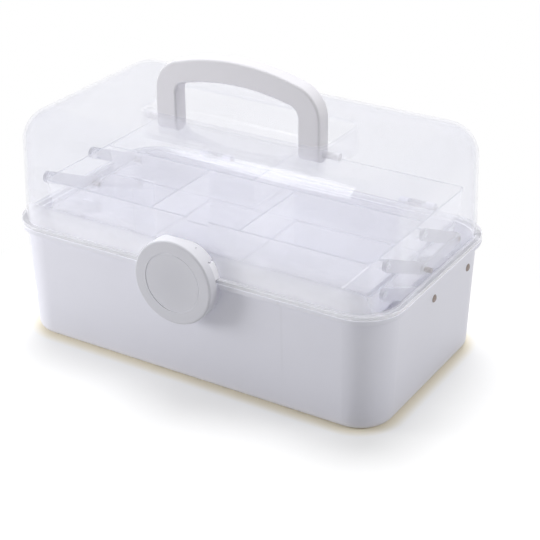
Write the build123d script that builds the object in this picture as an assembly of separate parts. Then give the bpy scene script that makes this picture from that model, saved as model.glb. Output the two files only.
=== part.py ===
from build123d import *
from math import atan2, degrees, hypot, radians, sin, tan
import os

os.makedirs("parts", exist_ok=True)

# A carry case for make-up: an opaque tub, two clear trays that swing up and back on flat arms,
# a clear lid hinged at the back with a recessed carrying handle, and a round latch cap in front.
# Millimetres. X runs along the case, Y from front to back, Z up. The origin is on the floor
# under the middle of the case. All hinges turn about lines along X.

# Joint line between tub and lid
rim_length = 330.0
rim_width = 187.0
rim_radius = 33.0
rim_edge = 0.8
seat_z = 92.9
tub_rim_height = 4.0
lid_rim_height = 3.0

# Tub, set back from the rim on every side
tub_inset = 3.85
tub_inset_corner = 3.0
tub_draft = 2.1
tub_wall = 2.4
tub_floor = 2.6
tub_foot_radius = 5.0
tub_split_x = 82.5
tub_split_wall = 1.8
tub_split_drop = 15.1

# Lid, set back from the rim on every side
lid_inset = 3.4
lid_inset_corner = 2.0
lid_height = 90.8
lid_draft = 1.78
lid_wall = 2.0
lid_shoulder = 25.5

# Rear hinge
hinge_offset = 6.0
hinge_x = 95.0
hinge_barrel = 4.5
hinge_pin_radius = 1.5
lid_knuckle = 14.0
tub_knuckle = 8.0
side_gap = 0.3
running_gap = 0.08

# Handle and its well in the lid
well_length = 158.0
well_front_y = -29.0
well_back_y = 31.0
well_depth = 21.7
well_corner = 9.0
well_lip = 1.5
well_edge = 1.2
handle_y = -10.0
handle_pivot_height = 9.0
handle_height = 58.0
handle_thickness = 14.0
handle_leg_edge = 6.7
handle_outer = 71.3
handle_inner = 52.6
handle_bar = 18.0
handle_rise = 8.0
handle_shoulder_drop = 33.0
handle_outer_bend = 24.0
handle_inner_bend = 9.0
handle_bend_share = 0.86
handle_edge = 2.0
handle_stub = 3.0
handle_boss = 5.5
handle_boss_depth = 3.5

# Trays
tray_side_room = 18.65
tray_front_room = 24.0
tray_back_room = 10.0
middle_tray_step = 11.0
tray_height = 25.0
tray_wall = 1.6
tray_floor = 1.6
tray_draft = 7.0
tray_corner = 6.0
tray_foot_radius = 3.6
rest_gap = 0.2
middle_rim_rise = 7.2
divider_wall = 1.4
long_divider_reach = 81.5
cross_dividers_x = (-42.2, 35.5)
guide_rib = 1.0
guide_reach = 3.0
notch_width = 18.0
notch_depth = 3.2

# Linkage: two pivots per stage, the same distance apart on tub, trays and tie strip
tub_pivot_y = -3.4
pin_step = 7.7
tub_pivot_drop = 18.2
middle_pivot_inset = 16.5
top_pivot_inset = 12.5
pivot_drop = 3.8
eye_radius = 4.75
arm_thickness = 3.0
arm_room = 0.9
layer_gap = 0.4
steel_radius = 2.0
boss_radius = 3.8
tub_boss_radius = 4.5
tie_thickness = 2.0
tie_radius = 4.2
long_pin_reach = 5.4
pin_proud = 0.3

# Tray rests inside the tub's end walls
rest_wall = 2.4
rest_reach = 8.0
rest_front_inset = 24.5
rest_back_inset = 10.0

# Latch
cap_radius = 33.0
cap_drop = 3.9
cap_reach = 10.5
cap_face = 2.4
cap_wall = 2.0
cap_edge = 1.6
cap_dish = 0.6
cap_ring_radius = 23.5
cap_ring_width = 0.8
cap_open_angle = 38.0
cap_gap = 0.3
plinth_radius = 32.6
plinth_reach = 1.9
latch_axis_reach = 1.8
latch_axis_rise = 27.5
latch_pin_radius = 1.5
latch_ear_radius = 2.8
latch_ear_width = 9.6
latch_lug_width = 4.0
plate_top_drop = 9.1
plate_stud_x = 14.0
plate_stud_rise = 10.1
plate_stud_radius = 1.5
plate_stud_head = 2.6
plate_stud_head_depth = 0.8
nose_width = 14.0
nose_height = 3.0
nose_depth = 2.0
nose_edge = 1.2
nose_drop = 16.0
tab_height = 2.6

# Depth by which a piece is sunk into what it grows from, or a cut runs past a face
root = 1.0

# Lengths and places that follow from the sizes above
tub_length = rim_length - 2 * tub_inset
tub_width = rim_width - 2 * tub_inset
tub_radius = rim_radius - tub_inset_corner
lid_length = rim_length - 2 * lid_inset
lid_width = rim_width - 2 * lid_inset
lid_radius = rim_radius - lid_inset_corner
lid_edge_z = seat_z + lid_rim_height
lid_top_z = seat_z + lid_height
hinge_axis_y = rim_width / 2 + hinge_offset

well_floor_z = lid_top_z - well_depth
handle_pivot_z = well_floor_z + handle_pivot_height
handle_crown_z = handle_pivot_z + handle_height
handle_spring_z = handle_crown_z - handle_shoulder_drop

tray_length = tub_length - 2 * tray_side_room
tray_front_y = -rim_width / 2 + tray_front_room
top_tray_depth = rim_width - tray_front_room - tray_back_room
middle_tray_depth = top_tray_depth - middle_tray_step
long_divider_y = tray_front_y + long_divider_reach
middle_rim_z = seat_z + middle_rim_rise
rest_z = middle_rim_z - tray_height
tub_split_top = rest_z - tub_split_drop
top_rim_z = middle_rim_z + tray_height + rest_gap
rest_front_y = tray_front_y + rest_front_inset
rest_back_y = tray_front_y + middle_tray_depth - rest_back_inset

tub_pivot_z = seat_z - tub_pivot_drop
middle_pivot_z = middle_rim_z - pivot_drop
top_pivot_z = top_rim_z - pivot_drop
middle_pivot_y = tray_front_y + middle_pivot_inset
top_pivot_y = tray_front_y + top_pivot_inset
pivot_spacing = tub_pivot_y - middle_pivot_y + pin_step
lower_arm_x = tray_length / 2 + arm_room
upper_arm_x = lower_arm_x + arm_thickness + layer_gap
tie_x = upper_arm_x + arm_thickness + layer_gap
tie_end_x = tie_x + tie_thickness

cap_z = seat_z - cap_drop
cap_face_y = -rim_width / 2 - cap_reach
plinth_front_y = -rim_width / 2 - plinth_reach
latch_axis_y = -rim_width / 2 - latch_axis_reach
latch_axis_z = cap_z + latch_axis_rise
latch_wall_gap = -latch_axis_y - lid_width / 2
plate_top_z = latch_axis_z - plate_top_drop
plate_stud_z = seat_z + plate_stud_rise
nose_z = cap_z - nose_drop
SIDES = {"left": -1, "right": 1}


def drafted(length, width, radius, wide_z, depth, draft, upward, y=0.0):
    """Rounded block with its widest section at wide_z, leaning in by draft degrees."""
    facing = (0, 0, 1 if upward else -1)
    plane = Plane(origin=(0, y, wide_z), x_dir=(1, 0, 0), z_dir=facing)
    return extrude(plane * RectangleRounded(length, width, radius), amount=depth, taper=draft)


def slab(x_span, y_span, z_span):
    """Square block between pairs of X, Y and Z."""
    spans = (x_span, y_span, z_span)
    centre = [(low + high) / 2 for low, high in spans]
    return Pos(*centre) * Box(*[abs(high - low) for low, high in spans])


def rod(x_from, x_to, y, z, radius):
    """Round bar along X."""
    return Pos((x_from + x_to) / 2, y, z) * Rot(0, 90, 0) * Cylinder(radius, abs(x_to - x_from))


def disc(x, z, radius, y_front, y_back):
    """Round bar along Y."""
    middle = (y_front + y_back) / 2
    return Pos(x, middle, z) * Rot(90, 0, 0) * Cylinder(radius, abs(y_back - y_front))


def lowest_edges(solid):
    return solid.faces().sort_by(Axis.Z)[0].edges()


def highest_edges(solid):
    return solid.faces().sort_by(Axis.Z)[-1].edges()


def rim(bottom_z, height, seam):
    """Band that stands out round the joint line, eased on both outer edges."""
    band = extrude(Plane.XY.offset(bottom_z) * RectangleRounded(rim_length, rim_width, rim_radius), height)
    band = fillet(band.faces().sort_by(Axis.Z)[-1 if seam == "top" else 0].edges(), rim_edge)
    return chamfer(band.faces().sort_by(Axis.Z)[0 if seam == "top" else -1].edges(), rim_edge / 2)


# ---------------------------------------------------------------- tub

def tub_block():
    block = drafted(tub_length, tub_width, tub_radius, seat_z, seat_z, tub_draft, upward=False)
    return fillet(lowest_edges(block), tub_foot_radius)


def tub_cavity():
    cavity = drafted(tub_length - 2 * tub_wall, tub_width - 2 * tub_wall, tub_radius - tub_wall,
                     seat_z, seat_z - tub_floor, tub_draft, upward=False)
    return fillet(lowest_edges(cavity), tub_foot_radius - tub_wall / 2)


def tub_knuckles(side):
    """Two barrels per hinge, carried on a web from the tub's rim."""
    knuckles = []
    for end in (-1, 1):
        near = side * hinge_x + end * (lid_knuckle / 2 + side_gap)
        far = near + end * tub_knuckle
        web = slab((near, far), (rim_width / 2 - tub_wall, hinge_axis_y), (seat_z - tub_rim_height, seat_z))
        knuckles.append(web + rod(near, far, hinge_axis_y, seat_z, hinge_barrel))
    return knuckles


def catch_plinth():
    """Lower half of the round plinth behind the cap, with the nose that the cap snaps under."""
    plinth = disc(0, cap_z, plinth_radius, plinth_front_y, -tub_width / 2 + tub_foot_radius)
    plinth -= slab((-cap_radius, cap_radius), (-rim_width, 0), (seat_z, seat_z + cap_radius))
    nose = slab((-nose_width / 2, nose_width / 2),
                (plinth_front_y - nose_depth, plinth_front_y + root), (nose_z, nose_z + nose_height))
    front_edges = nose.faces().sort_by(Axis.Y)[0].edges().filter_by(Axis.X)
    return plinth + fillet(front_edges, nose_edge)


def tray_rests(side):
    """Ribs on the end wall whose tops carry the middle tray."""
    inner_x = tray_length / 2 - rest_reach
    ribs = []
    for y in (rest_front_y, rest_back_y):
        ribs.append(slab((side * inner_x, side * tub_length / 2), (y - rest_wall / 2, y + rest_wall / 2),
                         (tub_floor / 2, rest_z - rest_gap)))
    return ribs


def tub_pivots():
    return [(tub_pivot_y + n * pivot_spacing, tub_pivot_z) for n in (0, 1)]


def base_tub():
    outer = tub_block()
    body = outer + rim(seat_z - tub_rim_height, tub_rim_height, "bottom") + catch_plinth()
    for side in SIDES.values():
        body += tub_knuckles(side)
    body -= tub_cavity()
    inside = [slab((tub_split_x - tub_split_wall / 2, tub_split_x + tub_split_wall / 2),
                   (-tub_width / 2, tub_width / 2), (tub_floor / 2, tub_split_top))]
    for side in SIDES.values():
        inside += tray_rests(side)
        for y, z in tub_pivots():
            inside.append(rod(side * (upper_arm_x - layer_gap / 2), side * tub_length / 2, y, z,
                              tub_boss_radius))
    for piece in inside:
        body += piece & outer
    for side in SIDES.values():
        for y, z in tub_pivots():
            body -= rod(side * lower_arm_x, side * rim_length / 2, y, z, steel_radius)
        body -= rod(side * (hinge_x - lid_knuckle * 2), side * (hinge_x + lid_knuckle * 2),
                    hinge_axis_y, seat_z, hinge_pin_radius)
    return body


def tub_wall_x(z):
    """Outer face of the tub's end wall at height z."""
    return tub_length / 2 - (seat_z - z) * tan(radians(tub_draft))


def tub_pin(side, pivot):
    """Steel pin driven in from outside, through wall and boss, into the arm's eye."""
    y, z = pivot
    return rod(side * (lower_arm_x - pin_proud), side * (tub_wall_x(z) + pin_proud), y, z, steel_radius)


def hinge_pin(side):
    half = lid_knuckle / 2 + side_gap + tub_knuckle
    return rod(side * hinge_x - half, side * hinge_x + half, hinge_axis_y, seat_z, hinge_pin_radius)


# ---------------------------------------------------------------- lid

def lid_block(wall):
    """Domed block of the lid, taken in by wall on every side."""
    block = drafted(lid_length - 2 * wall, lid_width - 2 * wall, lid_radius - wall,
                    seat_z, lid_top_z - wall - seat_z, lid_draft, upward=True)
    return fillet(highest_edges(block), lid_shoulder - wall)


def well_block(wall, top_z):
    """Recess for the handle, grown by wall."""
    length = well_length + 2 * wall
    width = well_back_y - well_front_y + 2 * wall
    floor = well_floor_z - wall
    plan = Pos(0, (well_front_y + well_back_y) / 2) * RectangleRounded(length, width, well_corner + wall)
    block = extrude(Plane.XY.offset(floor) * plan, top_z - floor)
    return fillet(lowest_edges(block), well_lip + wall)


def lid_knuckle_barrel(side):
    near, far = (side * hinge_x - lid_knuckle / 2, side * hinge_x + lid_knuckle / 2)
    web = slab((near, far), (rim_width / 2 - lid_wall, hinge_axis_y), (seat_z, lid_edge_z))
    return web + rod(near, far, hinge_axis_y, seat_z, hinge_barrel)


def lid_shell():
    outer = lid_block(0)
    shell = outer + rim(seat_z, lid_rim_height, "top") - lid_block(lid_wall)
    shell += well_block(lid_wall, lid_top_z - lid_wall / 2)
    shell -= well_block(0, lid_top_z + lid_wall)
    mouth = shell.faces().sort_by(Axis.Z)[-1].inner_wires()[0].edges()
    shell = fillet(mouth, well_edge)
    well_end = well_length / 2
    for side in SIDES.values():
        shell += rod(side * (well_end + lid_wall / 2), side * (well_end + lid_wall + handle_boss_depth),
                     handle_y, handle_pivot_z, handle_boss)
        shell -= rod(side * (well_end - root), side * (well_end + lid_wall + handle_boss_depth + root),
                     handle_y, handle_pivot_z, handle_stub + running_gap)
        shell += lid_knuckle_barrel(side)
        shell -= rod(side * (hinge_x - lid_knuckle), side * (hinge_x + lid_knuckle),
                     hinge_axis_y, seat_z, hinge_pin_radius + running_gap)
        shell -= disc(side * plate_stud_x, plate_stud_z, plate_stud_radius, plinth_front_y, -lid_width / 3)
    return shell


# ---------------------------------------------------------------- handle

def handle_outline(half, crown_z, spring_z, bend, foot_z):
    """Arch with straight legs, rounded shoulders and a gently bowed top."""
    crown_x = half - bend * handle_bend_share
    crown_side_z = crown_z - handle_rise * (crown_x / handle_inner) ** 2
    leg = Line((half, foot_z), (half, spring_z))
    shoulder = TangentArc((half, spring_z), (crown_x, crown_side_z), tangent=(0, 1))
    top = ThreePointArc((crown_x, crown_side_z), (0, crown_z), (-crown_x, crown_side_z))
    other_shoulder = TangentArc((-half, spring_z), (-crown_x, crown_side_z), tangent=(0, 1))
    other_leg = Line((-half, spring_z), (-half, foot_z))
    foot = Line((-half, foot_z), (half, foot_z))
    return make_face([leg, shoulder, top, other_shoulder, other_leg, foot])


def handle():
    foot_z = handle_pivot_z - handle_thickness / 2
    arch = handle_outline(handle_outer, handle_crown_z, handle_spring_z, handle_outer_bend, foot_z)
    arch -= handle_outline(handle_inner, handle_crown_z - handle_bar, handle_spring_z,
                           handle_inner_bend, foot_z)
    face = Plane(origin=(0, handle_y, 0), x_dir=(1, 0, 0), z_dir=(0, -1, 0)) * arch
    bow = extrude(face, handle_thickness / 2, both=True)
    soles = bow.faces().sort_by(Axis.Z)[:2]
    sole_edges = [edge for sole in soles for edge in sole.edges().filter_by(Axis.X)]
    bow = fillet(sole_edges, handle_leg_edge)
    soft = [edge for face in (bow.faces().sort_by(Axis.Y)[0], bow.faces().sort_by(Axis.Y)[-1])
            for edge in face.edges()]
    bow = fillet(soft, handle_edge)
    for side in SIDES.values():
        bow += rod(side * (handle_outer - handle_stub), side * (well_length / 2 + lid_wall + handle_boss_depth),
                   handle_y, handle_pivot_z, handle_stub)
    return bow


# ---------------------------------------------------------------- latch

def latch_plate():
    """Upper half of the round plinth, staked to the lid, with the ear for the latch pin."""
    plate = disc(0, cap_z, plinth_radius, plinth_front_y, -lid_width / 3)
    plate &= slab((-cap_radius, cap_radius), (-rim_width, 0), (lid_edge_z, plate_top_z))
    ear = rod(-latch_ear_width / 2, latch_ear_width / 2, latch_axis_y, latch_axis_z, latch_ear_radius)
    ear += slab((-latch_ear_width / 2, latch_ear_width / 2),
                (latch_axis_y - latch_ear_radius, latch_axis_y + latch_ear_radius / 3),
                (plate_top_z - latch_ear_radius, latch_axis_z))
    plate += ear & slab((-cap_radius, cap_radius), (-rim_width, 0), (lid_edge_z, lid_top_z))
    plate -= lid_block(0)
    plate -= rod(-cap_radius, cap_radius, latch_axis_y, latch_axis_z, latch_pin_radius)
    inner_y = -lid_inner_y(plate_stud_z)
    hollow = lid_block(lid_wall)
    for side in SIDES.values():
        plate += disc(side * plate_stud_x, plate_stud_z, plate_stud_radius, plinth_front_y + root, inner_y)
        plate += hollow & disc(side * plate_stud_x, plate_stud_z, plate_stud_head,
                               inner_y - lid_wall, inner_y + plate_stud_head_depth)
    return plate


def lid_inner_y(z):
    """Inner face of the lid's front wall at height z, as a distance from the middle."""
    lean = tan(radians(lid_draft))
    return lid_width / 2 - lid_wall - (z - seat_z) * lean


def latch_pin():
    half = latch_ear_width / 2 + side_gap + latch_lug_width
    return rod(-half, half, latch_axis_y, latch_axis_z, latch_pin_radius)


def cap_skirt():
    """Deep rim over the top of the cap, shallow round the rest, clear of lid and plinth."""
    deep_y = -lid_width / 2 - cap_gap / 2
    shallow_y = plinth_front_y - cap_gap
    ring = disc(0, cap_z, cap_radius, cap_face_y, deep_y)
    ring -= disc(0, cap_z, cap_radius - cap_wall, cap_face_y + cap_face, deep_y + root)
    notch_z = cap_z + cap_radius * sin(radians(cap_open_angle))
    low = slab((-cap_radius - root, cap_radius + root), (shallow_y, deep_y + root), (0, notch_z))
    behind = slab((-cap_radius, cap_radius), (latch_axis_y, deep_y + root), (latch_axis_z, lid_top_z))
    behind -= rod(-cap_radius, cap_radius, latch_axis_y, latch_axis_z, latch_wall_gap - cap_gap)
    return ring - low - behind


def latch_cap():
    cap = cap_skirt()
    rim_edges = cap.edges().filter_by(GeomType.CIRCLE).group_by(Axis.Y)[0]
    cap = fillet(rim_edges, cap_edge)
    cap -= disc(0, cap_z, cap_ring_radius, cap_face_y - root, cap_face_y + cap_dish)
    cap += disc(0, cap_z, cap_ring_radius - cap_ring_width, cap_face_y + cap_dish / 2,
                cap_face_y + cap_face)
    lug_near = latch_ear_width / 2 + side_gap
    for side in SIDES.values():
        x_span = (side * lug_near, side * (lug_near + latch_lug_width))
        lug = rod(*x_span, latch_axis_y, latch_axis_z, latch_ear_radius)
        lug += slab(x_span, (cap_face_y + cap_face - root, latch_axis_y),
                    (latch_axis_z - latch_ear_radius, latch_axis_z + latch_ear_radius))
        cap += lug & disc(0, cap_z, cap_radius - cap_wall / 2, cap_face_y, 0)
    cap += slab((-nose_width / 2, nose_width / 2),
                (cap_face_y + cap_face - root, plinth_front_y - nose_depth - cap_gap),
                (nose_z - cap_gap - tab_height, nose_z - cap_gap))
    cap -= rod(-cap_radius / 2, cap_radius / 2, latch_axis_y, latch_axis_z,
               latch_pin_radius + running_gap)
    return cap


# ---------------------------------------------------------------- trays

def tray_cavity(depth, rim_z, y):
    cavity = drafted(tray_length - 2 * tray_wall, depth - 2 * tray_wall, tray_corner - tray_wall,
                     rim_z, tray_height - tray_floor, tray_draft, upward=False, y=y)
    return fillet(lowest_edges(cavity), tray_foot_radius - tray_wall)


def dividers(depth, rim_z):
    """One wall along the tray and cross walls from it to the front, with short guide ribs."""
    back_y = tray_front_y + depth
    heights = (rim_z - tray_height, rim_z)
    half = divider_wall / 2
    walls = [slab((-tray_length / 2, tray_length / 2), (long_divider_y - half, long_divider_y + half),
                  heights)]
    for x in cross_dividers_x:
        walls.append(slab((x - half, x + half), (tray_front_y, long_divider_y), heights))
        for side in (-1, 1):
            rib = x + side * (half + guide_rib / 2)
            walls.append(slab((rib - guide_rib / 2, rib + guide_rib / 2),
                              (long_divider_y - guide_reach, long_divider_y),
                              (heights[0], heights[1] - guide_reach)))
    middle_x = sum(cross_dividers_x) / len(cross_dividers_x)
    walls.append(slab((middle_x - half, middle_x + half), (long_divider_y, back_y), heights))
    return walls


def tray_shell(depth, rim_z):
    """Drafted tray with dividers and a finger notch in the front edge."""
    y = tray_front_y + depth / 2
    outer = drafted(tray_length, depth, tray_corner, rim_z, tray_height, tray_draft, upward=False, y=y)
    outer = fillet(lowest_edges(outer), tray_foot_radius)
    shell = outer - tray_cavity(depth, rim_z, y)
    for wall in dividers(depth, rim_z):
        shell += wall & outer
    return shell - slab((-notch_width / 2, notch_width / 2),
                        (tray_front_y - root, tray_front_y + tray_wall + notch_depth),
                        (rim_z - notch_depth, rim_z + root))


def wall_x(drop):
    """Outer face of a tray's end wall, drop below its rim."""
    return tray_length / 2 - drop * tan(radians(tray_draft))


def tray_boss(side, pivot, end_x):
    """Round boss on a tray's end wall, as far out as end_x."""
    return rod(side * (wall_x(pivot_drop) - tray_wall / 2), side * end_x, *pivot, boss_radius)


def tray_stub(side, pivot, arm_x):
    """Boss with a moulded stub that carries an arm's eye."""
    stub = rod(side * (arm_x - root), side * (arm_x + arm_thickness), *pivot, steel_radius)
    return tray_boss(side, pivot, arm_x - layer_gap / 2) + stub


def pivot_pair(y, z):
    return [(y, z), (y + pivot_spacing, z)]


middle_pivots = pivot_pair(middle_pivot_y, middle_pivot_z)
top_pivots = pivot_pair(top_pivot_y, top_pivot_z)
tie_pivots = pivot_pair(tub_pivot_y, middle_pivot_z)


def tray_pin_start():
    return wall_x(pivot_drop) - tray_wall / 2


def middle_tray():
    shell = tray_shell(middle_tray_depth, middle_rim_z)
    boss_ends = (lower_arm_x - layer_gap / 2, upper_arm_x - layer_gap / 2)
    for side in SIDES.values():
        for pivot in middle_pivots:
            shell += tray_stub(side, pivot, lower_arm_x)
        for pivot, end_x in zip(tie_pivots, boss_ends):
            shell += tray_boss(side, pivot, end_x)
            shell -= rod(side * tray_pin_start(), side * (end_x + root), *pivot, steel_radius)
    return shell


def top_tray():
    shell = tray_shell(top_tray_depth, top_rim_z)
    for side in SIDES.values():
        for pivot in top_pivots:
            shell += tray_stub(side, pivot, upper_arm_x)
    return shell


def tray_pin(side, pivot, reach):
    """Steel pin from a tray's boss through the upper arm's eye and the tie strip."""
    return rod(side * tray_pin_start(), side * (tie_end_x + reach), *pivot, steel_radius)


# ---------------------------------------------------------------- arms

def bar(start, end, side, inner_x, thickness, radius, bore):
    """Flat bar with round ends and two bores, upright in the plane across X."""
    reach = hypot(end[0] - start[0], end[1] - start[1])
    lean = degrees(atan2(end[1] - start[1], end[0] - start[0]))
    middle = Pos((start[0] + end[0]) / 2, (start[1] + end[1]) / 2)
    outline = middle * Rot(0, 0, lean) * SlotCenterToCenter(reach, 2 * radius)
    outline -= [Pos(*point) * Circle(bore) for point in (start, end)]
    first_x = inner_x if side > 0 else -inner_x - thickness
    return extrude(Plane.YZ.offset(first_x) * outline, thickness)


def arm(start, end, side, inner_x):
    return bar(start, end, side, inner_x, arm_thickness, eye_radius, steel_radius + running_gap)


def tie_strip(side):
    return bar(*tie_pivots, side, tie_x, tie_thickness, tie_radius, steel_radius)


# ---------------------------------------------------------------- write the pieces

def build_nodes():
    nodes = {
        "base_tub": base_tub(),
        "lid_shell": lid_shell(),
        "handle": handle(),
        "latch_plate": latch_plate(),
        "latch_pin": latch_pin(),
        "latch_cap": latch_cap(),
        "middle_tray": middle_tray(),
        "top_tray": top_tray(),
    }
    for name, side in SIDES.items():
        nodes[f"hinge_pin_{name}"] = hinge_pin(side)
        nodes[f"tie_strip_{name}"] = tie_strip(side)
        for place, tub, middle, tie, top, reach in zip(("front", "rear"), tub_pivots(), middle_pivots,
                                                       tie_pivots, top_pivots, (long_pin_reach, 0)):
            nodes[f"tub_pin_{place}_{name}"] = tub_pin(side, tub)
            nodes[f"tray_pin_{place}_{name}"] = tray_pin(side, tie, reach)
            nodes[f"lower_arm_{place}_{name}"] = arm(tub, middle, side, lower_arm_x)
            nodes[f"upper_arm_{place}_{name}"] = arm(tie, top, side, upper_arm_x)
    return nodes


for node, shape in build_nodes().items():
    export_step(shape, f"parts/{node}.step")
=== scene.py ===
"""Looks of the make-up case: camera, studio light, floor and the finish of each plastic and steel part."""
import math

import bpy
import numpy as np
from mathutils import Matrix, Vector


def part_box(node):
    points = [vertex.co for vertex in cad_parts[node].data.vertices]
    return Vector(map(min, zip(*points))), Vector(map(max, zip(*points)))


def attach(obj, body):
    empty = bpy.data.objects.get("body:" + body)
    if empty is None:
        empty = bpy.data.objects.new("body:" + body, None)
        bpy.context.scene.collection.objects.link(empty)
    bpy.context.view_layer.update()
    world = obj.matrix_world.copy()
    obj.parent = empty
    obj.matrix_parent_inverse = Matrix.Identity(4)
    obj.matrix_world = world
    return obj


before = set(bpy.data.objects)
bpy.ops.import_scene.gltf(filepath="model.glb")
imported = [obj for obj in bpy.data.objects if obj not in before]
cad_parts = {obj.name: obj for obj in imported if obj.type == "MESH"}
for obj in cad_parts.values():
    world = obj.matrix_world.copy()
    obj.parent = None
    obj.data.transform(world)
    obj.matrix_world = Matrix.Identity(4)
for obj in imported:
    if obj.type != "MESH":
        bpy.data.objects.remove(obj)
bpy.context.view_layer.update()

# The photograph's view: direction, aim and focal length found from the rim, the walls and the handle
VIEW_AZIMUTH = math.radians(31.645)
VIEW_ELEVATION = math.radians(27.167)
VIEW_ROLL = math.radians(-0.363)
VIEW_DISTANCE = 1.152295
VIEW_AIM = (0.016208, -0.023093)
VIEW_HEIGHT = 0.080
VIEW_LENS = 99.2

WHITE = (1.0, 1.0, 1.0, 1.0)

# Floor and air: what lamps light, what bounces on, and the even glow that only the viewer sees
FLOOR_TONE = 0.76
FLOOR_BOUNCE = 0.52
FLOOR_GLOW = 0.25
FLOOR_REACH = 6.0
FAR_LEVEL = 0.75
AIR_LEVEL = 0.39
SHADOW_CENTRE = (0.08, -0.16, 0.0)
SHADOW_REACH, SHADOW_FADE = 0.22, 0.16
# Painted warm contact shadow on the floor along the tub's foot
CONTACT_SHADOW_TONE = (0.95, 0.89, 0.74)
FOOT_LENGTH, FOOT_WIDTH, FOOT_CORNER = 0.3155, 0.1725, 0.030
CONTACT_SHADOW_START, CONTACT_SHADOW_FADE = 0.001, 0.010

# Clear plastic: gloss seen square on, share of the veil that lets light through, what thin walls
# lose, the painted shade that darkens solid plastic facing up, and the waves in its faces, in metres
GLOSS_SQUARE_ON = 0.04
GLOWING_SHARE = 0.45
THINNING = 0.75
TOP_PAINTED_SHADE = 0.6
WAVE_SIZE, WAVE_DEPTH = 0.035, 0.00006

# Places of the masks, in metres, and the veil that each adds
LID_RIM_TOP, LID_RIM_VEIL = 0.0959, 0.6
FRONT_WALL, FRONT_BLEND = -0.090, 0.014
FOOT_TOP, FOOT_FADE, FOOT_VEIL = 0.098, 0.030, 0.48
WELL_FLOOR, WELL_TOP, WELL_END, WELL_SIDE = 0.1560, 0.1800, 0.0840, 0.036
WELL_FRONT, WELL_VEIL = -0.026, 0.16
WELL_MIDDLE, WELL_MIDDLE_FADE = 0.060, 0.022
TOP_TRAY_RIM = 0.1253
MIDDLE_TRAY_RIM = 0.1001
TRAY_RIM_DEPTH, TRAY_RIM_VEIL = 0.009, 0.45
CAP_CENTRE = (0.0, -0.104, 0.089)
CAP_RING_INNER, CAP_RING_OUTER = 0.0224, 0.0235
CAP_DISH_INNER, CAP_DISH_FADE = 0.004, 0.022
# Painted shade on the latch cap's face and middle, and painted light on its ring and skirt
CAP_FACE_SHADE, CAP_DISH_SHADE, CAP_RING_SHADE, CAP_SKIRT_SHADE = 0.74, 0.20, 0.9, 0.5
# Painted shade of the inner partition, a faint upright line on the tub's front wall
PARTITION_X, PARTITION_HALF, PARTITION_SHADE = 0.0825, 0.0006, 0.35
TUB_FRONT = -0.088

# Pin heads and plugs, in metres. A head's foot is HEAD_SINK inside the pin's outer end, just in the wall.
HEAD_SINK, HEAD_RADIUS, HEAD_HEIGHT = 0.0005, 0.0031, 0.0016
BORE_REACH, PLUG_RADIUS, PLUG_HEIGHT = 0.0165, 0.0013, 0.003
DOME_RINGS = 8
DOME_SIDES = 36


class Wire:
    """A socket of a finish. Sums, products and powers written with it add Math nodes."""

    def __init__(self, finish, socket):
        self.finish, self.socket = finish, socket

    def _maths(self, operation, *values):
        return self.finish.node("ShaderNodeMath", {"operation": operation}, dict(enumerate(values)))

    def __add__(self, other):
        return self._maths("ADD", self, other)

    def __radd__(self, other):
        return self._maths("ADD", other, self)

    def __sub__(self, other):
        return self._maths("SUBTRACT", self, other)

    def __rsub__(self, other):
        return self._maths("SUBTRACT", other, self)

    def __mul__(self, other):
        return self._maths("MULTIPLY", self, other)

    def __rmul__(self, other):
        return self._maths("MULTIPLY", other, self)

    def __abs__(self):
        return self._maths("ABSOLUTE", self)

    def over(self, edge, width):
        """0 below edge, 1 above edge + width, smooth between."""
        return self.finish.node(
            "ShaderNodeMapRange",
            {"interpolation_type": "SMOOTHSTEP"},
            {"Value": self, "From Min": edge, "From Max": edge + width},
        )


class Finish:
    """One material made of nodes, or the nodes of another tree such as the world's."""

    def __init__(self, name, tree=None):
        if tree is None:
            self.material = bpy.data.materials.new(name)
            self.material.use_nodes = True
            tree = self.material.node_tree
        self.tree = tree
        self.tree.nodes.clear()

    def node(self, kind, settings=None, sockets=None, out=0):
        """Adds a node: its settings first, then values or links on its sockets.

        Gives the Wire of one output.
        """
        made = self.tree.nodes.new(kind)
        for key, value in (settings or {}).items():
            setattr(made, key, value)
        for key, value in (sockets or {}).items():
            if isinstance(value, Wire):
                self.tree.links.new(value.socket, made.inputs[key])
            else:
                made.inputs[key].default_value = value
        return Wire(self, made.outputs[out]) if made.outputs else None

    def place(self):
        """The point on the object, in metres."""
        return self.node("ShaderNodeTexCoord", out="Object")

    def noise(self, size, detail=2.0, stretch=(1.0, 1.0, 1.0)):
        """Cloudy noise from 0 to 1, with patches about size metres wide."""
        spot = self.node("ShaderNodeMapping", sockets={"Vector": self.place(), "Scale": stretch})
        return self.node(
            "ShaderNodeTexNoise", sockets={"Vector": spot, "Scale": 1.0 / size, "Detail": detail}
        )

    def tint(self, mask, low, high):
        """Colour low where mask is 0 and high where it is 1."""
        return self.node(
            "ShaderNodeMix", {"data_type": "RGBA"}, {"Factor": mask, 6: (*low, 1.0), 7: (*high, 1.0)}, out=2
        )

    def bump(self, height, depth):
        """Normal of a surface whose height, from 0 to 1, stands for depth metres."""
        return self.node("ShaderNodeBump", sockets={"Height": height, "Distance": depth, "Strength": 1.0})

    def maths(self, operation, first, second=None, out="Vector"):
        """One step of vector maths."""
        values = {0: first} if second is None else {0: first, 1: second}
        return self.node("ShaderNodeVectorMath", {"operation": operation}, values, out=out)

    def mixed(self, factor, first, second):
        """The first shader where factor is 0 and the second where it is 1."""
        return self.node("ShaderNodeMixShader", sockets={0: factor, 1: first, 2: second})

    def see_through(self, colour=WHITE):
        """What is behind, in this colour."""
        return self.node("ShaderNodeBsdfTransparent", sockets={"Color": colour})

    def surface(self, **values):
        """The main shader. Names are its sockets, with underscores for spaces."""
        sockets = {key.replace("_", " "): value for key, value in values.items()}
        return self.node("ShaderNodeBsdfPrincipled", sockets=sockets)

    def done(self, shader):
        """Links the shader to the output and gives the material."""
        self.node("ShaderNodeOutputMaterial", sockets={"Surface": shader})
        return self.material


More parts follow.
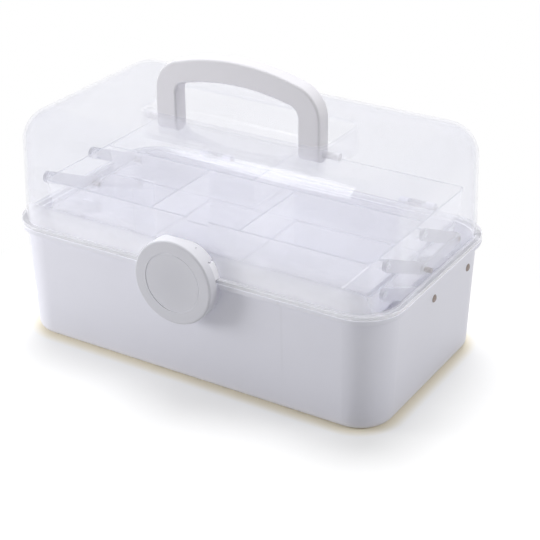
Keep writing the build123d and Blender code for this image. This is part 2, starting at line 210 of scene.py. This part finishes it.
def moulded(name, pale, dark, rough, shade=None, grain=0.00035, grain_depth=0.000012):
    """Satin moulded plastic: slow colour clouds, a fine even grain, slightly uneven gloss.

    shade gives a mask of painted shade that moves the colour further towards dark, and paints light where
    it is negative.
    """
    finish = Finish(name)
    mix = 0.3 + 0.4 * finish.noise(0.06)
    if shade:
        mix = mix - shade(finish)
    fine = finish.noise(grain, 1.0)
    return finish.done(
        finish.surface(
            Base_Color=finish.tint(mix, dark, pale),
            Roughness=rough + 0.06 * finish.noise(0.012, 3.0),
            Normal=finish.bump(fine, grain_depth),
            IOR=1.49,
        )
    )


def clear(
    name, tone, veil, edge, rough, thick=None, deep=None, pane=(0.970, 0.972, 0.985), polish=1.0, thin=None
):
    """Clear plastic wall: a faint milky veil that thickens where the wall is seen edge on, and a gloss.

    With f from 0, seen square on, to 1, seen edge on, the veil hides veil + edge * f^3 of what is
    behind, and the gloss takes 0.04 + 0.96 * f^5 of the light. Lamps and bounced light pass. thick
    adds its mask to the veil where the plastic is solid, in the colour deep, with painted shade that
    darkens it where it faces up. pane is the colour of what is seen through the wall, and polish
    scales the gloss. thin's mask takes veil and tint away.
    """
    finish = Finish(name)
    waves = finish.bump(finish.noise(WAVE_SIZE, 1.0), WAVE_DEPTH)
    slant = finish.node("ShaderNodeLayerWeight", sockets={"Blend": 0.5}, out="Facing")
    cubed = slant * slant * slant
    hidden = veil + edge * cubed
    if thin:
        hidden = hidden * (1.0 - THINNING * thin(finish))
    milk = finish.surface(Base_Color=(*tone, 1.0), Roughness=0.3, Normal=waves)
    through = finish.node("ShaderNodeBsdfTranslucent", sockets={"Color": (*tone, 1.0), "Normal": waves})
    body = finish.mixed(GLOWING_SHARE, milk, through)
    open_air = finish.see_through((*pane, 1.0))
    if thin:
        open_air = finish.mixed(THINNING * thin(finish), open_air, finish.see_through())
    wall = finish.mixed(hidden, open_air, body)
    if thick:
        # Painted shade: solid plastic that faces up is painted a darker copy of deep
        shaded_top_colour = finish.tint(upward(finish), deep, [TOP_PAINTED_SHADE * part for part in deep])
        core = finish.surface(Base_Color=shaded_top_colour, Roughness=0.3, Normal=waves)
        wall = finish.mixed(thick(finish), wall, core)
    shine = finish.node(
        "ShaderNodeBsdfAnisotropic",
        sockets={"Color": WHITE, "Roughness": rough + 0.04 * finish.noise(0.02), "Normal": waves},
    )
    gloss = GLOSS_SQUARE_ON * polish + (1.0 - GLOSS_SQUARE_ON) * polish * (cubed * slant * slant)
    seen = finish.mixed(gloss, wall, shine)
    unseen = rays(finish, "Is Shadow Ray", "Is Diffuse Ray")
    return finish.done(finish.mixed(unseen, seen, finish.see_through()))


def along(finish, axis, vector=None):
    """One coordinate of the point on the object, or of another vector."""
    return finish.node("ShaderNodeSeparateXYZ", sockets={0: vector or finish.place()}, out=axis)


def upward(finish):
    """1 where the surface faces up."""
    return along(finish, "Z", finish.node("ShaderNodeNewGeometry", out="Normal")).over(0.85, 0.1)


def distance(finish, centre):
    """How far the point on the object is from a centre."""
    return finish.maths("DISTANCE", finish.place(), centre, out="Value")


def in_well(finish):
    """1 on the walls and floor of the handle's well, below the lid's top."""
    across, deep, height = (along(finish, axis) for axis in "XYZ")
    box = height.over(WELL_FLOOR, 0.002) * (1.0 - height.over(WELL_TOP, 0.002))
    box = box * (1.0 - abs(across).over(WELL_END, 0.001))
    return box * deep.over(-WELL_SIDE, 0.001) * (1.0 - deep.over(WELL_SIDE, 0.001))


def lid_foot(finish):
    """The lid's rim, the foot of its front wall and the front of its well are milkier than the rest."""
    height = along(finish, "Z")
    front = 1.0 - along(finish, "Y").over(FRONT_WALL, FRONT_BLEND)
    foot = FOOT_VEIL * (front - front * height.over(FOOT_TOP, FOOT_FADE))
    rim = 1.0 - height.over(LID_RIM_TOP - 0.0004, 0.001)
    well_front = in_well(finish) * (1.0 - along(finish, "Y").over(WELL_FRONT, 0.003))
    middle = 1.0 - abs(along(finish, "X")).over(WELL_MIDDLE, WELL_MIDDLE_FADE)
    return foot + (LID_RIM_VEIL - foot) * rim + WELL_VEIL * well_front * middle


def tray_rims(rim_height):
    """The flat tops of a tray's rim and dividers, where one looks down into the plastic; clear() gives them
    painted shade on top.
    """

    def mask(finish):
        return TRAY_RIM_VEIL * upward(finish) * along(finish, "Z").over(rim_height - TRAY_RIM_DEPTH, 0.001)

    return mask


def cap_painted_shade(finish):
    """Painted shade and light on the latch cap: its face is painted darker than its skirt, most of all in
    the middle, and its ring is painted pale over the shade of its groove.
    """
    reach = distance(finish, CAP_CENTRE)
    on_face = 1.0 - along(finish, "Y").over(CAP_CENTRE[1] + 0.0006, 0.001)
    ring = reach.over(CAP_RING_INNER, 0.0004) - reach.over(CAP_RING_OUTER, 0.0003)
    dish = CAP_DISH_SHADE * reach.over(CAP_DISH_INNER, CAP_DISH_FADE)
    return on_face * (CAP_FACE_SHADE - dish - CAP_RING_SHADE * ring) - CAP_SKIRT_SHADE


def partition_painted_shade(finish):
    """The inner partition shows as a faint upright line of painted shade on the front wall."""
    near = abs(along(finish, "X") - PARTITION_X)
    line = PARTITION_SHADE - PARTITION_SHADE * near.over(PARTITION_HALF, 0.0008)
    return line * (1.0 - along(finish, "Y").over(TUB_FRONT, 0.001))


def steel(name):
    """Dull drawn steel with fine scratches."""
    finish = Finish(name)
    scratches = finish.noise(0.0004, 2.0, (0.15, 1.0, 1.0))
    return finish.done(
        finish.surface(
            Base_Color=finish.tint(scratches, (0.16, 0.12, 0.10), (0.42, 0.37, 0.35)),
            Roughness=0.32 + 0.12 * scratches,
            Metallic=1.0,
            Normal=finish.bump(scratches, 0.00001),
        )
    )


def dome(name, foot, outward, radius, height, material, body):
    """A low dome that looks along x: rings of points from foot to crown, closed at the back."""
    climb = np.linspace(0.0, math.pi / 2, DOME_RINGS, endpoint=False)[:, None]
    turn = np.linspace(0.0, 2 * math.pi, DOME_SIDES, endpoint=False)[None, :]
    reach = radius * np.cos(climb)
    rise = outward * height * np.sin(climb) + 0 * turn
    rings = np.stack([rise, reach * np.cos(turn), reach * np.sin(turn)], axis=-1)
    points = np.vstack([rings.reshape(-1, 3), [(outward * height, 0.0, 0.0)]]) + np.array(foot)
    crown = len(points) - 1
    faces = [tuple(range(DOME_SIDES))[::-outward]]
    for ring in range(DOME_RINGS):
        for i in range(DOME_SIDES):
            here, there = ring * DOME_SIDES + i, ring * DOME_SIDES + (i + 1) % DOME_SIDES
            upper = (there + DOME_SIDES, here + DOME_SIDES) if ring < DOME_RINGS - 1 else (crown,)
            faces.append((here, there, *upper)[::outward])
    mesh = bpy.data.meshes.new(name)
    mesh.from_pydata([tuple(map(float, point)) for point in points], [], faces)
    for polygon in list(mesh.polygons)[1:]:
        polygon.use_smooth = True
    mesh.materials.append(material)
    piece = bpy.data.objects.new(name, mesh)
    bpy.context.collection.objects.link(piece)
    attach(piece, body)


def dress(nodes, material):
    """Gives the named CAD nodes this material."""
    for name in nodes:
        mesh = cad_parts[name].data
        mesh.materials.clear()
        mesh.materials.append(material)


def sides(*names):
    """Each name with _left and _right."""
    return [f"{name}_{side}" for name in names for side in ("left", "right")]


def place_camera():
    """Stands the camera where the photograph was taken: back along the view line, then moved to the aim."""
    swing, lift = VIEW_AZIMUTH, VIEW_ELEVATION
    back = Vector((math.sin(swing) * math.cos(lift), -math.cos(swing) * math.cos(lift), math.sin(lift)))
    level = Vector((math.cos(swing), math.sin(swing), 0.0))
    upright = back.cross(level)
    right = math.cos(VIEW_ROLL) * level + math.sin(VIEW_ROLL) * upright
    up = math.cos(VIEW_ROLL) * upright - math.sin(VIEW_ROLL) * level
    spot = Vector((0.0, 0.0, VIEW_HEIGHT)) + back * VIEW_DISTANCE + right * VIEW_AIM[0] + up * VIEW_AIM[1]
    lens = bpy.data.cameras.new("photo_view")
    lens.lens, lens.sensor_width, lens.clip_start = VIEW_LENS, 36.0, 0.05
    camera = bpy.data.objects.new("photo_view", lens)
    camera.matrix_world = Matrix(
        [(right[i], up[i], back[i], spot[i]) for i in range(3)] + [(0.0, 0.0, 0.0, 1.0)]
    )
    bpy.context.collection.objects.link(camera)
    bpy.context.scene.camera = camera


def rays(finish, *kinds):
    """1 on rays of these kinds, else 0."""
    path = finish.tree.nodes.new("ShaderNodeLightPath")
    mask = Wire(finish, path.outputs[kinds[0]])
    for kind in kinds[1:]:
        other = Wire(finish, path.outputs[kind])
        mask = finish.node("ShaderNodeMath", {"operation": "MAXIMUM"}, {0: mask, 1: other})
    return mask


def seen_rays(finish):
    """1 on rays that come straight from the camera, off gloss or through clear plastic."""
    return rays(finish, "Is Camera Ray", "Is Glossy Ray", "Is Transmission Ray")


def near_foot(finish):
    """1 beside the tub's foot, under its painted warm contact shadow, and 0 from 11 mm away, by the
    distance to a rectangle with round corners.
    """
    inner = (FOOT_LENGTH / 2 - FOOT_CORNER, FOOT_WIDTH / 2 - FOOT_CORNER, 0.0)
    outside = finish.maths("SUBTRACT", finish.maths("ABSOLUTE", finish.place()), inner)
    outside = finish.maths("MAXIMUM", outside, (0.0, 0.0, 0.0))
    reach = finish.maths("LENGTH", outside, out="Value") - FOOT_CORNER
    return 1.0 - reach.over(CONTACT_SHADOW_START, CONTACT_SHADOW_FADE)


def lay_floor():
    """A wide pale floor: it takes the object's shadow near by, has a painted warm contact shadow along the
    tub's foot, and fades to white further off.
    """
    finish = Finish("floor_white")
    seen = seen_rays(finish)
    tone = finish.tint(seen, [FLOOR_BOUNCE] * 3, [FLOOR_TONE] * 3)
    matt = finish.node("ShaderNodeBsdfDiffuse", sockets={"Color": tone})
    glow = finish.node("ShaderNodeEmission", sockets={"Color": WHITE, "Strength": FLOOR_GLOW * seen})
    near_by = finish.node("ShaderNodeAddShader", sockets={0: matt, 1: glow})
    # Painted shadow: beside the foot the floor loses its glow and turns warm
    contact_shadow = finish.node("ShaderNodeBsdfDiffuse", sockets={"Color": (*CONTACT_SHADOW_TONE, 1.0)})
    near_by = finish.mixed(near_foot(finish), near_by, contact_shadow)
    level = FAR_LEVEL + (1.0 - FAR_LEVEL) * seen
    far_off = finish.node("ShaderNodeEmission", sockets={"Color": WHITE, "Strength": level})
    fade = distance(finish, SHADOW_CENTRE).over(SHADOW_REACH, SHADOW_FADE)
    material = finish.done(finish.mixed(fade, near_by, far_off))
    corners = ((-1, -1), (1, -1), (1, 1), (-1, 1))
    mesh = bpy.data.meshes.new("floor")
    mesh.from_pydata([(FLOOR_REACH * x, FLOOR_REACH * y, 0.0) for x, y in corners], [], [(0, 1, 2, 3)])
    mesh.materials.append(material)
    floor = bpy.data.objects.new("floor", mesh)
    bpy.context.collection.objects.link(floor)


def hang_lamp(name, spot, aim, width, depth, power, mirrored=False):
    """A round soft lamp at spot, turned towards aim. Gloss shows only the mirrored ones."""
    lamp = bpy.data.lights.new(name, "AREA")
    lamp.shape, lamp.size, lamp.size_y, lamp.energy = "ELLIPSE", width, depth, power
    stand = bpy.data.objects.new(name, lamp)
    stand.visible_glossy = mirrored
    stand.location = spot
    stand.rotation_euler = (Vector(aim) - Vector(spot)).to_track_quat("-Z", "Y").to_euler()
    bpy.context.collection.objects.link(stand)


def fill_air():
    """Even light from all round, white to what looks at it."""
    world = bpy.data.worlds.new("studio")
    world.use_nodes = True
    bpy.context.scene.world = world
    finish = Finish("studio", world.node_tree)
    seen = seen_rays(finish)
    level = AIR_LEVEL + (1.0 - AIR_LEVEL) * seen
    light = finish.node("ShaderNodeBackground", sockets={"Color": WHITE, "Strength": level})
    finish.node("ShaderNodeOutputWorld", sockets={"Surface": light})


place_camera()
lay_floor()
fill_air()
hang_lamp("top_light", (-0.3, 0.6, 1.6), (0.0, 0.0, 0.1), 1.4, 1.4, 24.0)
hang_lamp("left_light", (-0.9, -0.6, 0.22), (0.0, 0.0, 0.06), 0.5, 0.5, 6.4)
hang_lamp("right_light", (1.7, 0.5, 0.9), (0.0, 0.0, 0.1), 1.0, 1.0, 9.0)
hang_lamp("shine_light", (-0.555, -0.08, 1.3), (-0.555, -0.08, 0.0), 0.36, 1.1, 1.9, mirrored=True)

# The tub's front wall gets a painted shade line where the inner partition stands
tub_white = moulded("tub_white", (0.79, 0.79, 0.87), (0.73, 0.73, 0.80), rough=0.36, shade=partition_painted_shade)
dress(["base_tub"], tub_white)
dress(["handle"], moulded("handle_white", (0.74, 0.73, 0.77), (0.72, 0.71, 0.75), rough=0.34))
# The cap's finish carries painted shade on its face and painted light on its ring and skirt
cap_grey = moulded("cap_grey", (0.73, 0.73, 0.78), (0.54, 0.54, 0.59), rough=0.36, shade=cap_painted_shade)
dress(["latch_cap"], cap_grey)
dress(["latch_plate"], moulded("plate_white", (0.88, 0.88, 0.92), (0.86, 0.86, 0.90), rough=0.32))
lid_clear = clear(
    "lid_clear",
    (0.74, 0.74, 0.79),
    veil=0.055,
    edge=0.28,
    rough=0.05,
    thick=lid_foot,
    deep=(0.94, 0.94, 0.99),
    thin=in_well,
)
dress(["lid_shell"], lid_clear)
for tray, rim in (("top_tray", TOP_TRAY_RIM), ("middle_tray", MIDDLE_TRAY_RIM)):
    tray_finish = clear(
        tray + "_clear",
        (0.95, 0.95, 0.99),
        veil=0.15,
        edge=0.25,
        rough=0.08,
        # The rim tops get painted shade: deep, darkened further where they face up
        thick=tray_rims(rim),
        deep=(0.55, 0.58, 0.70),
        pane=(0.99, 0.99, 0.99),
        polish=0.4,
    )
    dress([tray], tray_finish)
dress(
    sides("lower_arm_front", "lower_arm_rear", "upper_arm_front", "upper_arm_rear", "tie_strip"),
    clear("arm_clear", (0.52, 0.52, 0.57), veil=0.74, edge=0.15, rough=0.15),
)
pin_steel = steel("pin_steel")
dress(
    sides("tub_pin_front", "tub_pin_rear", "tray_pin_front", "tray_pin_rear", "hinge_pin") + ["latch_pin"],
    pin_steel,
)
for pin in sides("tub_pin_front", "tub_pin_rear"):
    low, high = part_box(pin)
    outward = 1 if low[0] > 0 else -1
    end = high[0] if outward > 0 else low[0]
    foot = (end - outward * HEAD_SINK, (low[1] + high[1]) / 2, (low[2] + high[2]) / 2)
    dome(pin.replace("pin", "pin_head"), foot, outward, HEAD_RADIUS, HEAD_HEIGHT, pin_steel, "tub")

# Plugs close the ends of the latch pin's bore, where it comes near the cap's skirt
low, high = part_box("latch_pin")
for side, outward in (("left", 1), ("right", -1)):
    foot = (-outward * BORE_REACH, (low[1] + high[1]) / 2, (low[2] + high[2]) / 2)
    dome("latch_plug_" + side, foot, outward, PLUG_RADIUS, PLUG_HEIGHT, cap_grey, "latch")

scene = bpy.context.scene
scene.view_settings.view_transform = "Standard"
scene.cycles.max_bounces = 32
scene.cycles.transmission_bounces = 32
scene.cycles.transparent_max_bounces = 32
